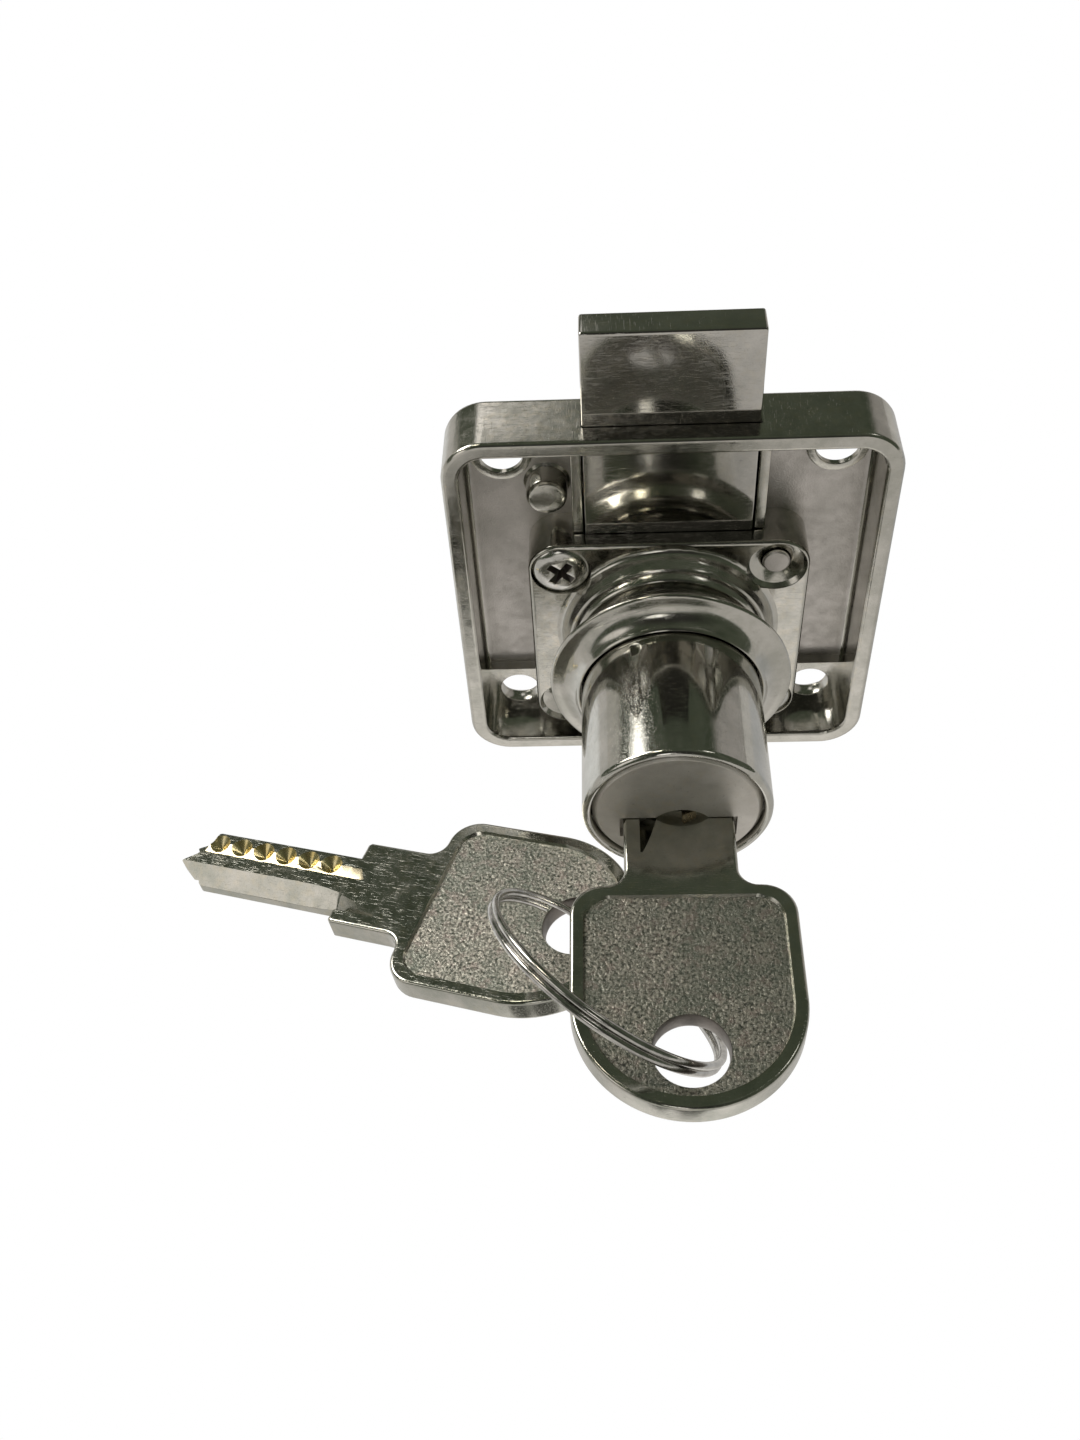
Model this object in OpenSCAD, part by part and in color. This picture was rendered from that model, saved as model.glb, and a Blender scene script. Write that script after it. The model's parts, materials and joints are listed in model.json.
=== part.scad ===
// Square-bolt drawer lock with a dimple key and a spare key on a split ring.
// Millimetres. Y runs along the cylinder into the drawer front's back side,
// Z is the way the bolt comes out, X is across. The origin is on the cylinder
// axis, in the plane that lies against the drawer front.

/* [Back plate] */
// width and height of the tray-shaped back plate
plate = 40; // [36:0.5:45]
// depth of the tray
tray_d = 6.5; // [5.5:0.1:8]
// rim wall thickness
wall_t = 1.6; // [1.2:0.1:2.2]
// floor thickness
floor_t = 1.3; // [1:0.1:1.3]
// outer corner radius
corner_r = 4; // [2.5:0.1:6]
// height of the plate centre above the cylinder axis
plate_up = 2.9; // [1:0.1:4]
// spacing of the four fixing holes
hole_sp = 30; // [28:0.5:31]
// fixing hole diameter
hole_d = 4; // [3.2:0.1:4.4]

/* [Bolt] */
// bolt width
bolt_w = 15.3; // [12:0.1:15.4]
// bolt top above the cylinder axis when thrown
bolt_top = 32.2; // [30:0.1:33]
// bolt thickness
bolt_t = 3; // [2.8:0.1:3.3]
// distance of the drive pin from the cylinder axis
pin_e = 4.65; // [4:0.05:4.65]

/* [Cylinder] */
// nose diameter
nose_d = 16.5; // [16:0.1:19]
// length of the nose in front of the mounting plane
nose_l = 22; // [18:0.5:30]
// housing width
house_w = 26; // [24:0.1:26]
// plug core diameter
plug_d = 10.6; // [10:0.1:11]

/* [Trim ring] */
// widest diameter of the loose trim ring
ring_d = 22.3; // [20:0.1:26]

/* [Keys] */
// half of the key bow's width
bow_r = 9.4; // [8:0.1:10]
// key thickness
key_t = 2.4; // [2:0.1:2.4]
// width of the key's blade
blade_w = 5.5; // [5:0.1:5.6]
// key ring hole diameter
key_hole_d = 6; // [5:0.1:6.4]
// distance between the dimple cuts, and between the pins
pitch = 2.5; // [2.3:0.05:2.6]

/* [Key ring] */
// centreline radius of the split ring
loop_r = 11.1; // [10.9:0.1:11.3]
// wire diameter
wire_d = 0.7; // [0.6:0.05:0.9]

/* [Hidden] */
$fn = 48;
eps = 0.01;
gap = 0.1;
nose_r = nose_d / 2;
floor_y = tray_d - floor_t;
bolt_y = floor_y - gap - bolt_t;
chan = bolt_w / 2 + gap;
face_y = 0.4;
web_y = bolt_y - gap;
house_top = 10.8;
house_bot = -13.4;
ear_r = 3.05;
ear_x = house_w / 2 - ear_r;
head_bore_r = ear_r - 0.25;
slot_r = 2.3;
plug_r = plug_d / 2;
head_r = 7.4;
head_y = -nose_l + 0.25;
core_y = head_y + 1.4;
key_pos = [0.1, -28.6, -2.1];
pin_x = 1.4;
pin_y0 = key_pos[1] + 10.2;
key_top = key_pos[2] + key_t / 2;
shank_y = 7.65;
field_d = 0.25;
bevel_x = 1.25;
pin_r = 1.0;
inner_r = nose_r - 0.5;
stack_z = 7.35;
spare_pos = [-23.02, -23.54, -10.71];
spare_rot = [-8.6, 2.4, 71];
ring_pos = [-6.27, -36.22, -3.2];
ring_rot = [0, 51.1, 42.6];

// a round bar along Y between two depths, with an optional second radius
module ybar(r, y0, y1, x = 0, z = 0, r2 = -1, fn = 64)
  translate([x, y0, z]) rotate([-90, 0, 0])
    cylinder(r1 = r, r2 = r2 < 0 ? r : r2, h = y1 - y0, $fn = fn);

// a block between two corners
module box(a, b) translate(a) cube(b - a);

// a block with rounded corners seen along Y
module rblock(x, z0, z1, r, y0, y1) {
  box([-x, y0, z0 + r], [x, y1, z1 - r]);
  box([-x + r, y0, z0], [x - r, y1, z1]);
  for (i = [-1, 1]) for (z = [z0 + r, z1 - r])
    ybar(r, y0, y1, i * (x - r), z, fn = 40);
}

// ---- back plate: a shallow tray, open towards the drawer front ----
module back_plate() color([0.66, 0.66, 0.62]) {
  lo = plate_up - plate / 2;
  hi = plate_up + plate / 2;
  difference() {
    union() {
      difference() {
        rblock(plate / 2, lo, hi, corner_r, 0, tray_d);
        rblock(plate / 2 - wall_t, lo + wall_t, hi - wall_t, corner_r - wall_t,
          -1, floor_y);
      }
      // guide ribs each side of the bolt
      for (i = [-1, 1]) box([i * (chan + 0.5) - 0.5, 2.2, house_top + 0.1],
        [i * (chan + 0.5) + 0.5, floor_y + eps, hi - wall_t + eps]);
      // raised lands round the fixing holes, and the ledge pads below
      for (i = [-1, 1]) {
        ybar(2.8, floor_y - 0.25, floor_y + eps, i * hole_sp / 2,
          plate_up + hole_sp / 2);
        box([i * 15.78 - 2.7, floor_y - 1.1, lo + wall_t - eps],
          [i * 15.78 + 2.7, floor_y + eps, plate_up - hole_sp / 2 + 2.9]);
      }
      // small cast post beside the bolt
      ybar(1.9, 2.6, floor_y + eps, -11, 14.6);
    }
    // slot for the bolt through the top wall
    box([-chan, bolt_y - gap, hi - wall_t - 1], [chan, floor_y, hi + 1]);
    // fixing holes, countersunk from the back
    for (i = [-1, 1]) for (j = [-1, 1]) {
      ybar(hole_d / 2, -1, tray_d + 1, i * hole_sp / 2, plate_up + j * hole_sp / 2);
      ybar(hole_d / 2, tray_d - 1, tray_d + eps, i * hole_sp / 2,
        plate_up + j * hole_sp / 2, r2 = hole_d / 2 + 1);
    }
    // tapped holes for the two housing screws
    ybar(1.3, floor_y - 1, tray_d + 1, -ear_x, house_top - ear_r);
    ybar(1.3, floor_y - 1, tray_d + 1, ear_x, house_bot + ear_r);
  }
}

// ---- cylinder housing: bridge over the bolt, boss and barrel ----
module cylinder_shell() color([0.7, 0.7, 0.66]) difference() {
  union() {
    rblock(house_w / 2, house_bot, house_top, ear_r, face_y, floor_y);
    ybar(9.6, -1.2, face_y + eps);
    ybar(8.9, -2.4, -1.2 + eps, r2 = 9.6);
    ybar(inner_r, core_y, face_y);
  }
  // channel behind the bridge for the bolt
  box([-chan, web_y, house_bot - 1], [chan, floor_y + 1, house_top + 1]);
  // bores for the plug, its head and the drive cam
  ybar(plug_r + 0.06, -nose_l, 0);
  ybar(7.1, -3, web_y + 1);
  // four screw ears: two carry screws
  for (i = [-1, 1]) for (z = [house_top - ear_r, house_bot + ear_r]) {
    ybar(head_bore_r, face_y - 1, face_y + 1.1, i * ear_x, z, fn = 40);
    ybar(1.45, 0, floor_y + 1, i * ear_x, z, fn = 32);
    ybar(1.45, face_y + 1.1 - eps, face_y + 1.8, i * ear_x, z, fn = 32);
  }
  // pin chambers, drilled from outside and closed by the sleeve
  for (k = [0:5]) translate([pin_x, pin_y0 + k * pitch, 0])
    cylinder(r = pin_r + 0.05, h = 9, $fn = 32);
}

// ---- housing screw: cross-recess head in the ear's counterbore ----
module housing_screw(x, z) translate([x, 0, z]) color([0.75, 0.74, 0.7])
  difference() {
    union() {
      ybar(head_bore_r - gap, face_y + 0.15, face_y + 1.1, fn = 40);
      ybar(2.0, face_y - 0.25, face_y + 0.15 + eps, r2 = head_bore_r - gap, fn = 40);
      ybar(1.22, face_y + 1.1 - eps, tray_d - 0.2, fn = 32);
    }
    for (a = [45, 135]) rotate([0, a, 0])
      box([-1.5, face_y - 1, -0.32], [1.5, face_y + 0.6, 0.32]);
  }

module housing_screw_1() housing_screw(-ear_x, house_top - ear_r);
module housing_screw_2() housing_screw(ear_x, house_bot + ear_r);

// ---- plated sleeve over the barrel, closing the pin chambers ----
module nose_sleeve() color([0.72, 0.72, 0.68]) difference() {
  union() {
    ybar(nose_r, -nose_l + 0.5, -2.42);
    ybar(nose_r - 0.45, -nose_l, -nose_l + 0.5 + eps, r2 = nose_r);
  }
  ybar(head_r + 0.08, -nose_l - 1, 0);
  ybar(inner_r + 0.03, core_y - 0.02, 0);
  // locating pit beside the trim ring
  translate([-3.5, -9.5, 7.28]) cylinder(r = 0.7, h = 2, $fn = 24);
}

// ---- driver pin and spring of one stack ----
module driver_pin(k) color([0.72, 0.73, 0.75])
  translate([pin_x, pin_y0 + k * pitch, plug_r + 0.12])
    cylinder(r = pin_r, h = 1.0, $fn = 32);

module pin_spring(k) color([0.8, 0.7, 0.4])
  translate([pin_x, pin_y0 + k * pitch, plug_r + 1.12]) difference() {
    cylinder(r = 0.9, h = stack_z - plug_r - 1.12, $fn = 24);
    translate([0, 0, -1]) cylinder(r = 0.6, h = 4, $fn = 24);
  }

module driver_pin_1() driver_pin(0);
module driver_pin_2() driver_pin(1);
module driver_pin_3() driver_pin(2);
module driver_pin_4() driver_pin(3);
module driver_pin_5() driver_pin(4);
module driver_pin_6() driver_pin(5);
module pin_spring_1() pin_spring(0);
module pin_spring_2() pin_spring(1);
module pin_spring_3() pin_spring(2);
module pin_spring_4() pin_spring(3);
module pin_spring_5() pin_spring(4);
module pin_spring_6() pin_spring(5);

// ---- loose trim ring round the nose ----
module trim_ring() color([0.7, 0.7, 0.67]) rotate([-90, 0, 0])
  rotate_extrude($fn = 96) polygon([[nose_r + 0.1, -8.1], [nose_r + 0.4, -8.3],
    [9.7, -7.5], [10.7, -6.9], [ring_d / 2, -6.5], [ring_d / 2, -6.2],
    [10.7, -5.7], [9.8, -4.4], [9.5, -4.0], [nose_r + 0.1, -4.0]]);

// ---- square bolt with the drive slot ----
module bolt() color([0.68, 0.68, 0.64]) difference() {
  box([-bolt_w / 2, bolt_y, -5.2], [bolt_w / 2, bolt_y + bolt_t, bolt_top]);
  box([-pin_e - 1.5, bolt_y - 1, pin_e - slot_r],
    [pin_e + 1.5, bolt_y + bolt_t + 1, pin_e + slot_r]);
  for (i = [-1, 1]) translate([i * bolt_w / 2, bolt_y - 1, -5.2]) rotate([0, 45, 0])
    cube([1.4, 2 * bolt_t + 2, 1.4], center = true);
}

// ---- plug: head, core with keyway, clip groove and square tenon ----
module plug() color([0.72, 0.72, 0.7]) difference() {
  union() {
    ybar(head_r, head_y + 0.25, core_y - 0.02);
    ybar(head_r - 0.25, head_y, head_y + 0.25 + eps, r2 = head_r);
    ybar(plug_r, core_y - 0.1, -2.96);
    ybar(4.5, -2.97, -2.04);
    ybar(plug_r, -2.05, -1.3);
    box([-2.3, -1.4, -2.3], [2.3, 0.5, 2.3]);
  }
  // key shank recess in the face, with the round relief above it
  box([key_pos[0] - 5.1, head_y - 1, key_top - key_t - gap],
    [key_pos[0] + 5.1, head_y + 0.85, key_top + gap]);
  ybar(2.95, head_y - 1, head_y + 0.85, 0.4, key_top - 1.8, fn = 48);
  // keyway
  box([key_pos[0] - blade_w / 2 - gap, head_y, key_top - key_t - gap],
    [key_pos[0] + blade_w / 2 + gap, -2.97, key_top + gap]);
  // pin chambers
  for (k = [0:5]) translate([pin_x, pin_y0 + k * pitch, key_top])
    cylinder(r = pin_r + 0.05, h = 8, $fn = 32);
}

// ---- key pin of one stack, drawn lifted to the level of the key's land ----
module key_pin(k) color([0.8, 0.68, 0.38])
  translate([pin_x, pin_y0 + k * pitch, key_top + 0.06]) {
    cylinder(r1 = 0.55, r2 = pin_r, h = 0.5 + eps, $fn = 32);
    translate([0, 0, 0.5])
      cylinder(r = pin_r, h = 4.72 - key_top - 0.56, $fn = 32);
  }

module key_pin_1() key_pin(0);
module key_pin_2() key_pin(1);
module key_pin_3() key_pin(2);
module key_pin_4() key_pin(3);
module key_pin_5() key_pin(4);
module key_pin_6() key_pin(5);

// ---- spring clip that holds the plug in the housing ----
module retaining_clip() color([0.35, 0.36, 0.38]) difference() {
  ybar(6.5, -2.9, -2.1);
  ybar(4.55, -4, -1);
  rotate([0, 20, 0]) box([-2.2, -4, -8], [2.2, -1, 0]);
}

// ---- drive cam on the plug's tenon ----
module drive_cam() color([0.62, 0.63, 0.65]) difference() {
  ybar(6.7, -1.25, 1.5);
  box([-2.35, -2, -2.35], [2.35, 0.6, 2.35]);
  ybar(1.22, -2, 3, 0, pin_e);
}

// ---- drive pin pressed into the cam ----
module drive_pin() color([0.6, 0.61, 0.63]) {
  ybar(1.2, -1.2, floor_y - 0.35, 0, pin_e, fn = 40);
}

// ---- dimple key, bow towards -Y, tip towards +Y, faces up and down ----
module bow_outline(m, h) {
  s = 2.8 - m / 2;
  translate([0, -20.2 + bow_r, 0]) cylinder(r = bow_r - m, h = h, center = true, $fn = 72);
  translate([0, (bow_r - 24.2) / 2, 0])
    cube([2 * (bow_r - m), 16.2 - bow_r, h], center = true);
  translate([0, -m / 2 - s / 2 - 1, 0])
    cube([2 * (bow_r - m - s), s + 2 - m, h], center = true);
  for (i = [-1, 1]) translate([i * (bow_r - m - s), -m - s, 0])
    cylinder(r = s, h = h, center = true, $fn = 40);
  translate([0, -m - s - 1, 0]) cube([2 * (bow_r - m), 2, h], center = true);
}

// upper half of the blade: pointed beside the bevel, cut back on the other side
module blade_half() linear_extrude(key_t / 2) polygon([[-blade_w / 2, shank_y - 1],
  [blade_w / 2, shank_y - 1], [blade_w / 2, 23.3], [1.2, 23.8], [0.2, 24.1],
  [-0.6, 24.6], [-bevel_x, 25.5], [-blade_w / 2, 23.3]]);

// long bevel down one edge of the blade, slanting out into the shank
module bevel_bar(l) rotate([90, 0, 0]) linear_extrude(l)
  polygon([[1, 1], [-2.6, -2.6], [-2.6, 1]]);

module bevel() intersection() {
  box([-3.4, 3, -1], [0, 30, 2]);
  union() {
    translate([-bevel_x, 30, key_t / 2]) bevel_bar(20.4);
    translate([-bevel_x, 9.6, key_t / 2]) rotate([0, 0, -16.3]) bevel_bar(7);
  }
}

module dimple_key() difference() {
  union() {
    bow_outline(0, key_t);
    // shank and neck fillets
    translate([0, (shank_y - 1) / 2, 0]) cube([9.6, shank_y + 1, key_t], center = true);
    difference() {
      translate([0, 0.7, 0]) cube([12.8, 1.8, key_t], center = true);
      for (i = [-1, 1]) translate([i * 6.4, 1.6, 0])
        cylinder(r = 1.6, h = 3, center = true, $fn = 40);
    }
    for (f = [0, 180]) rotate([0, f, 0]) blade_half();
  }
  translate([0, -15.2, 0]) cylinder(d = key_hole_d, h = 4, center = true, $fn = 48);
  for (f = [0, 180]) rotate([0, f, 0]) {
    // recessed field of the bow
    translate([0, 0, key_t / 2]) bow_outline(1.1, 2 * field_d);
    bevel();
    // dimple cuts in their shallow groove
    for (k = [0:5]) translate([1.35, 10.2 + k * pitch, 0.6])
      cylinder(r1 = 0.4, r2 = 1.3, h = 0.7, $fn = 24);
    translate([0.9, 16, 1.3]) cube([1.1, 19.6, 0.7], center = true);
  }
}

module key() color([0.7, 0.7, 0.66]) translate(key_pos) dimple_key();

module spare_key() color([0.7, 0.7, 0.66])
  translate(spare_pos) rotate(spare_rot) dimple_key();

// ---- split ring: two turns of wire side by side ----
module split_ring() color([0.75, 0.75, 0.74])
  translate(ring_pos) rotate(ring_rot)
    for (i = [-1, 1]) translate([0, 0, i * 0.46 * wire_d])
      rotate_extrude($fn = 96) translate([loop_r, 0]) circle(d = wire_d, $fn = 20);

back_plate();
cylinder_shell();
housing_screw_1();
housing_screw_2();
nose_sleeve();
driver_pin_1();
driver_pin_2();
driver_pin_3();
driver_pin_4();
driver_pin_5();
driver_pin_6();
pin_spring_1();
pin_spring_2();
pin_spring_3();
pin_spring_4();
pin_spring_5();
pin_spring_6();
trim_ring();
bolt();
plug();
key_pin_1();
key_pin_2();
key_pin_3();
key_pin_4();
key_pin_5();
key_pin_6();
retaining_clip();
drive_cam();
drive_pin();
key();
split_ring();
spare_key();
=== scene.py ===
"""Drawer lock with a square bolt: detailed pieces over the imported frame.

Shapes are in millimetres in the lock's own frame (X right, Y to the back, Z up) until mesh_obj
scales them. Each piece rides the body of the CAD node that it replaces.
"""
import bpy
import bmesh
import json
import math
from mathutils import Euler, Matrix, Vector


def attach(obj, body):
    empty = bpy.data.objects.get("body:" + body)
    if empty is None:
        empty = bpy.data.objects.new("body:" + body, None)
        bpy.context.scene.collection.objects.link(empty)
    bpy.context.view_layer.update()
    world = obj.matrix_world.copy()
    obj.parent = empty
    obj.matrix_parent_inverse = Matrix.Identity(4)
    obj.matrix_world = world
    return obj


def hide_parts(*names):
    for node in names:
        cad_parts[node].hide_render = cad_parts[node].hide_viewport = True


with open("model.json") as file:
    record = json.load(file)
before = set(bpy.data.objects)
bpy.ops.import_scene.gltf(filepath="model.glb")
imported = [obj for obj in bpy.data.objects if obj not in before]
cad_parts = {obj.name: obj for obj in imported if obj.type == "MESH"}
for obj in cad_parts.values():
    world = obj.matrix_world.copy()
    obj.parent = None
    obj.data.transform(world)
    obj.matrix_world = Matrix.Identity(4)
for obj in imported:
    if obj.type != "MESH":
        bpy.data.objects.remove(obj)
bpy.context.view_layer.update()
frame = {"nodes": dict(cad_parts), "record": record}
K = 0.001  # metres in a millimetre

# Driving dimensions and places, the same as in the CAD source.
PLATE_HALF, PLATE_MID = 20, 2.9
PLATE_LOW, PLATE_HIGH = PLATE_MID - PLATE_HALF, PLATE_MID + PLATE_HALF
FLOOR_Y = 5.2  # the tray's inner floor
HOLE_OFF = 15  # corner holes from the middle of the plate
EAR_X, EAR_HIGH, EAR_LOW = 9.95, 7.75, -10.35  # the four screw ears of the housing
HEAD_BORE = 2.8  # radius of the bore that takes a screw's head
BRIDGE_HALF = 7.75  # half the width of the bolt's channel
PIN_X, PIN_Y0, PITCH, PINS = 1.4, -18.4, 2.5, 6  # pin stacks over the keyway
PIN_BORE = 1.05  # radius of a pin's chamber
KEY_AT = (0.1, -28.6, -2.1)
SPARE_AT, SPARE_TURN = (-23.02, -23.54, -10.71), (-8.6, 2.4, 71.0)
RING_AT, RING_TURN = (-6.27, -36.22, -3.2), (0, 51.1, 42.6)
KEY_T = 1.2  # half the thickness of a key

# ---------------------------------------------------------------- mesh tools


def mesh_obj(name, verts, faces):
    """A new object from points in millimetres, with stray points merged and normals outward."""
    me = bpy.data.meshes.new(name)
    me.from_pydata([(x * K, y * K, z * K) for x, y, z in verts], [], faces)
    bm = bmesh.new()
    bm.from_mesh(me)
    bmesh.ops.remove_doubles(bm, verts=bm.verts, dist=1e-7)
    bmesh.ops.recalc_face_normals(bm, faces=bm.faces)
    bm.to_mesh(me)
    bm.free()
    o = bpy.data.objects.new(name, me)
    bpy.context.scene.collection.objects.link(o)
    return o


def loft(name, loops, closed=False):
    """Skins loops of equal length; caps the ends unless the loops close on themselves."""
    n = len(loops[0])
    verts = [p for loop in loops for p in loop]
    faces = []
    for k in range(len(loops) if closed else len(loops) - 1):
        a, b = k * n, ((k + 1) % len(loops)) * n
        for i in range(n):
            j = (i + 1) % n
            faces.append((a + i, a + j, b + j, b + i))
    if not closed:
        faces.append(tuple(range(n)))
        faces.append(tuple(reversed(range((len(loops) - 1) * n, len(loops) * n))))
    return mesh_obj(name, verts, faces)


def lathe(name, prof, seg=128, x=0.0, z=0.0, tube=True):
    """Turns (radius, y) points round a line along Y."""
    turns = [2 * math.pi * i / seg for i in range(seg)]
    loops = [[(x + r * math.cos(a), y, z + r * math.sin(a)) for a in turns] for r, y in prof]
    return loft(name, loops, closed=tube)


def bar(r, y0, y1, x=0.0, z=0.0, r2=None, seg=48):
    """A round cutter along Y, from radius r to r2."""
    return lathe("cut", [(r, y0), (r if r2 is None else r2, y1)], seg, x, z, tube=False)


def drill(r, y0, y1, x, y, seg):
    """The same cutter turned to run along Z, at x, y."""
    c = bar(r, y0, y1, seg=seg)
    c.data.transform(Matrix.Rotation(math.radians(90), 4, "X"))
    c.data.transform(Matrix.Translation(Vector((x, y, 0)) * K))
    return c


def upright(prof, x, y, seg=32):
    """A turned cutter with its axis along Z; prof holds (radius, z)."""
    turns = [2 * math.pi * i / seg for i in range(seg)]
    return loft("cut", [[(x + r * math.cos(a), y + r * math.sin(a), z) for a in turns] for r, z in prof])


def box(a, b, name="cut"):
    (x0, y0, z0), (x1, y1, z1) = a, b
    lo = [(x0, y0, z0), (x1, y0, z0), (x1, y1, z0), (x0, y1, z0)]
    hi = [(x, y, z1) for x, y, _ in lo]
    return loft(name, [lo, hi])


def rrect(hx, z0, z1, r, y, inset=0.0, n=10):
    """Rounded rectangle seen along Y, at depth y."""
    hx, z0, z1, r = hx - inset, z0 + inset, z1 - inset, max(r - inset, 0.15)
    out = []
    right, left, top, low = hx - r, -hx + r, z1 - r, z0 + r
    for cx, cz, a0 in ((right, top, 0), (left, top, 90), (left, low, 180), (right, low, 270)):
        for i in range(n + 1):
            a = math.radians(a0 + 90 * i / n)
            out.append((cx + r * math.cos(a), y, cz + r * math.sin(a)))
    return out


def prism(name, outline, z0, z1):
    """A flat outline in X and Y with straight walls along Z."""
    return loft(name, [[(x, y, z0) for x, y in outline], [(x, y, z1) for x, y in outline]])


def arc(cx, cy, r, a0, a1, n=12):
    turns = [math.radians(a0 + (a1 - a0) * i / n) for i in range(n + 1)]
    return [(cx + r * math.cos(a), cy + r * math.sin(a)) for a in turns]


def sweep(name, pts, r, seg=12):
    """A wire of radius r along points, its ends closed."""
    P = [Vector(p) for p in pts]
    t = (P[1] - P[0]).normalized()
    u = t.orthogonal().normalized()
    turns = [2 * math.pi * k / seg for k in range(seg)]
    loops = []
    for i, p in enumerate(P):
        nt = (P[min(i + 1, len(P) - 1)] - P[max(i - 1, 0)]).normalized()
        u = (u - nt * u.dot(nt)).normalized()
        v = nt.cross(u)
        loops.append([tuple(p + (u * math.cos(a) + v * math.sin(a)) * r) for a in turns])
    return loft(name, loops)


def applied(o):
    """The object with its modifiers made part of its mesh."""
    bpy.context.view_layer.update()
    dg = bpy.context.evaluated_depsgraph_get()
    me = bpy.data.meshes.new_from_object(o.evaluated_get(dg))
    o.modifiers.clear()
    old = o.data
    o.data = me
    bpy.data.meshes.remove(old)
    return o


def join(o, others):
    """Puts the other meshes into o as they are."""
    bm = bmesh.new()
    bm.from_mesh(o.data)
    for p in others:
        bm.from_mesh(p.data)
        bpy.data.objects.remove(p)
    bm.to_mesh(o.data)
    bm.free()
    return o


def weld(o, flat=False):
    """Merges stray points; flat also merges coplanar faces, otherwise faces become triangles."""
    bm = bmesh.new()
    bm.from_mesh(o.data)
    bmesh.ops.remove_doubles(bm, verts=bm.verts, dist=2e-6)
    bmesh.ops.dissolve_degenerate(bm, edges=bm.edges, dist=2e-6)
    if flat:
        bmesh.ops.dissolve_limit(bm, angle_limit=math.radians(0.8), verts=bm.verts, edges=bm.edges)
    else:
        bmesh.ops.triangulate(bm, faces=bm.faces)
    bm.to_mesh(o.data)
    bm.free()


def cut(o, cutters, op="DIFFERENCE", flat=True):
    """Cuts or adds pieces one by one, welding after each."""
    weld(o)
    for c in cutters:
        weld(c)
        m = o.modifiers.new("cut", "BOOLEAN")
        m.operation, m.solver, m.object = op, "EXACT", c
        applied(o)
        bpy.data.objects.remove(c)
        weld(o, flat and c is cutters[-1])
    return o


def soften(o, width, seg=2, angle=35.0):
    """Bevels the edges sharper than the angle."""
    m = o.modifiers.new("edge", "BEVEL")
    m.width = width * K
    m.segments = seg
    m.limit_method = "ANGLE"
    m.angle_limit = math.radians(angle)
    m.use_clamp_overlap = True
    m.loop_slide = True
    m.miter_outer = "MITER_ARC"
    return applied(o)


def shade(o, angle=32.0):
    """Smooth shading that keeps edges above the angle sharp."""
    bm = bmesh.new()
    bm.from_mesh(o.data)
    for f in bm.faces:
        f.smooth = True
    for e in bm.edges:
        e.smooth = not (len(e.link_faces) == 2 and e.calc_face_angle(0) > math.radians(angle))
    bm.to_mesh(o.data)
    bm.free()
    w = o.modifiers.new("normals", "WEIGHTED_NORMAL")
    w.keep_sharp = True
    w.weight = 80
    return o


# ---------------------------------------------------------------- materials


class Nodes:
    """A small helper round one material's node tree; coordinates are in millimetres."""

    def __init__(self, name):
        self.m = bpy.data.materials.new(name)
        self.m.use_nodes = True
        self.t = self.m.node_tree
        self.t.nodes.clear()
        self.out = self.t.nodes.new("ShaderNodeOutputMaterial")
        self.b = self.t.nodes.new("ShaderNodeBsdfPrincipled")
        self.t.links.new(self.b.outputs[0], self.out.inputs[0])
        tc = self.t.nodes.new("ShaderNodeTexCoord")
        self.co = self.mapped(tc.outputs["Object"], (1000, 1000, 1000))

    def mapped(self, src, scale, turn=(0, 0, 0)):
        n = self.t.nodes.new("ShaderNodeMapping")
        n.inputs["Scale"].default_value = scale
        n.inputs["Rotation"].default_value = [math.radians(a) for a in turn]
        self.t.links.new(src, n.inputs["Vector"])
        return n.outputs[0]

    def noise(self, scale, detail=3.0, rough=0.5, co=None, distort=0.0):
        n = self.t.nodes.new("ShaderNodeTexNoise")
        n.inputs["Scale"].default_value = scale
        n.inputs["Detail"].default_value = detail
        n.inputs["Roughness"].default_value = rough
        n.inputs["Distortion"].default_value = distort
        self.t.links.new(co or self.co, n.inputs["Vector"])
        return n.outputs["Fac"]

    def cells(self, scale, feature="F1", co=None):
        n = self.t.nodes.new("ShaderNodeTexVoronoi")
        n.feature = feature
        n.inputs["Scale"].default_value = scale
        self.t.links.new(co or self.co, n.inputs["Vector"])
        return n.outputs["Distance"]

    def span(self, src, a, b, lo, hi):
        n = self.t.nodes.new("ShaderNodeMapRange")
        for k, v in (("From Min", a), ("From Max", b), ("To Min", lo), ("To Max", hi)):
            n.inputs[k].default_value = v
        self.t.links.new(src, n.inputs["Value"])
        return n.outputs[0]

    def math(self, op, a, b):
        n = self.t.nodes.new("ShaderNodeMath")
        n.operation = op
        for i, v in enumerate((a, b)):
            if isinstance(v, (int, float)):
                n.inputs[i].default_value = v
            else:
                self.t.links.new(v, n.inputs[i])
        return n.outputs[0]

    def mix(self, fac, a, b):
        n = self.t.nodes.new("ShaderNodeMix")
        n.data_type = "RGBA"
        fac_in, a_in, b_in = n.inputs[0], n.inputs[6], n.inputs[7]  # the colour sockets of a mix node
        for s, v in ((fac_in, fac), (a_in, a), (b_in, b)):
            if isinstance(v, tuple):
                s.default_value = (*v, 1)
            elif isinstance(v, (int, float)):
                s.default_value = v
            else:
                self.t.links.new(v, s)
        return n.outputs[2]

    def bump(self, height, dist, prev=None, strength=1.0):
        n = self.t.nodes.new("ShaderNodeBump")
        n.inputs["Strength"].default_value = strength
        n.inputs["Distance"].default_value = dist * K
        self.t.links.new(height, n.inputs["Height"])
        if prev:
            self.t.links.new(prev, n.inputs["Normal"])
        return n.outputs[0]

    def edges(self, lo=0.52, hi=0.58):
        g = self.t.nodes.new("ShaderNodeNewGeometry")
        return self.span(g.outputs["Pointiness"], lo, hi, 0.0, 1.0)

    def set(self, **kw):
        for k, v in kw.items():
            s = self.b.inputs[k.replace("_", " ")]
            if isinstance(v, (int, float)):
                s.default_value = v
            elif isinstance(v, tuple):
                s.default_value = (*v, 1)
            else:
                self.t.links.new(v, s)
        return self.m


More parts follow.
